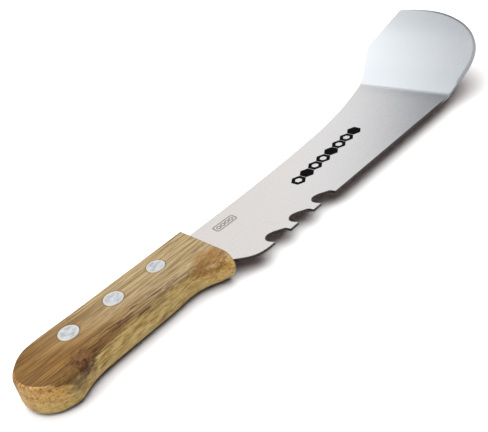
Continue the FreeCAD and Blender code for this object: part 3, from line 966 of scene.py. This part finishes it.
# bright cards seen only in reflections: position across the card's edge (-1..1), colour
CARD_LOW = (
    (-1.0, (0.50, 0.50, 0.51)), (-0.45, (0.25, 0.26, 0.28)), (-0.27, (0.0, 0.0, 0.0)),
    (-0.215, (0.06, 0.065, 0.08)), (-0.18, (0.36, 0.38, 0.42)), (-0.150, (0.84, 0.87, 0.94)),
    (-0.11, (1.05, 1.08, 1.14)), (-0.06, (1.12, 1.13, 1.15)), (-0.02, (1.13, 1.15, 1.15)),
    (0.03, (1.09, 1.05, 1.03)), (0.09, (1.00, 0.95, 0.925)), (0.14, (0.95, 0.90, 0.865)),
    (0.9, (0.92, 0.87, 0.84)))
CARD_HIGH = (
    (-1.0, (0.50, 0.51, 0.53)), (-0.50, (0.36, 0.37, 0.39)), (-0.26, (0.40, 0.41, 0.43)),
    (-0.200, (0.44, 0.455, 0.47)), (-0.150, (0.55, 0.57, 0.59)), (-0.105, (1.26, 1.29, 1.32)),
    (-0.03, (1.52, 1.58, 1.62)), (0.9, (1.30, 1.34, 1.38)))


def floor_material():
    tree = material_tree("floor_paper")
    point = tree.coords_mm()
    cloud = tree.noise(point, freq=(0.01, 0.01, 0.01), detail=3.0, rough=0.5)
    colour = tree.ramp(cloud, ((0.3, (0.93, 0.93, 0.93)), (0.7, (0.95, 0.95, 0.95))))
    paper = tree.principled(colour, rough=0.9, specular=0.1)
    # far from the blade the floor fades into the white backdrop
    glow = tree.build("ShaderNodeEmission", WHITE)
    far = tree.vector_math("LENGTH", point).fade(start=620.0, end=1150.0)
    return tree.finish(tree.build("ShaderNodeMixShader", far, paper, glow))


def build_stage():
    bm = bmesh.new()
    corners = ((-1, -1), (1, -1), (1, 1), (-1, 1))
    bm.faces.new([bm.verts.new((x * FLOOR_HALF, y * FLOOR_HALF, FLOOR_Z)) for x, y in corners])
    material = floor_material()
    mesh = bpy.data.meshes.new("floor")
    bm.to_mesh(mesh)
    bm.free()
    ob = bpy.data.objects.new("floor", mesh)
    scene.collection.objects.link(ob)
    mesh.materials.append(material)


def build_world():
    """An even dim fill, cards for reflections, and plain white for the camera."""
    scene.world = bpy.data.worlds.new("studio")
    tree = Tree(scene.world, "ShaderNodeOutputWorld")
    x, y, z = tree.split(tree.build("ShaderNodeTexCoord", output="Generated"))

    def card(lean, stops):
        """A card whose edge leans with height about z = 0.5."""
        across = y - x - (z - 0.5) * lean
        factor = tree.math("MULTIPLY_ADD", across, 0.5, 0.5)
        return tree.ramp(factor, [((place + 1) / 2, colour) for place, colour in stops])

    cards = tree.mix(z.fade(start=0.60, end=0.84), card(lean=0.40, stops=CARD_LOW),
                     card(lean=1.15, stops=CARD_HIGH))
    cards = tree.mix(z.fade(start=-0.12, end=0.06), TABLE_REFLECTION, cards)

    reflected = tree.build("ShaderNodeBackground", cards)
    ambient = tree.build("ShaderNodeBackground", AMBIENT_COLOUR, AMBIENT_STRENGTH)
    backdrop = tree.build("ShaderNodeBackground", WHITE)
    unseen = tree.build("ShaderNodeMixShader", tree.ray("Is Glossy Ray"), ambient, reflected)
    tree.finish(tree.build("ShaderNodeMixShader", tree.ray("Is Camera Ray"), unseen, backdrop))


def build_key_light():
    """A large soft light overhead that doesn't show in reflections."""
    place, target = Vector((0.03, 0.18, 1.38)), Vector((0.10, 0.0, 0.0))
    light = bpy.data.lights.new("key", "AREA")
    light.shape = "RECTANGLE"
    light.size = light.size_y = 2.60
    light.energy = 66.0
    light.color = (1.0, 0.992, 0.985)
    ob = bpy.data.objects.new("key", light)
    ob.location = place
    ob.rotation_euler = (target - place).to_track_quat("-Z", "Y").to_euler()
    scene.collection.objects.link(ob)
    ob.visible_glossy = False


def build_camera():
    camera = bpy.data.cameras.new("camera")
    camera.lens = 61.84
    camera.sensor_width = 36.0
    camera.sensor_fit = "HORIZONTAL"
    camera.clip_start, camera.clip_end = 0.01, 20.0
    ob = bpy.data.objects.new("camera", camera)
    right = Vector((0.67247, -0.71336, -0.19729))
    up = Vector((0.52275, 0.26908, 0.80890))
    back = Vector((-0.52394, -0.64709, 0.55386))
    turn = Matrix((right, up, back)).transposed().to_4x4()
    ob.matrix_world = Matrix.Translation((-0.14521, -0.28574, 0.26076)) @ turn
    scene.collection.objects.link(ob)
    scene.camera = ob


build_blade()
build_grip()
build_rivets()
build_comb_band()
build_stamp()
build_stage()
build_world()
build_key_light()
build_camera()
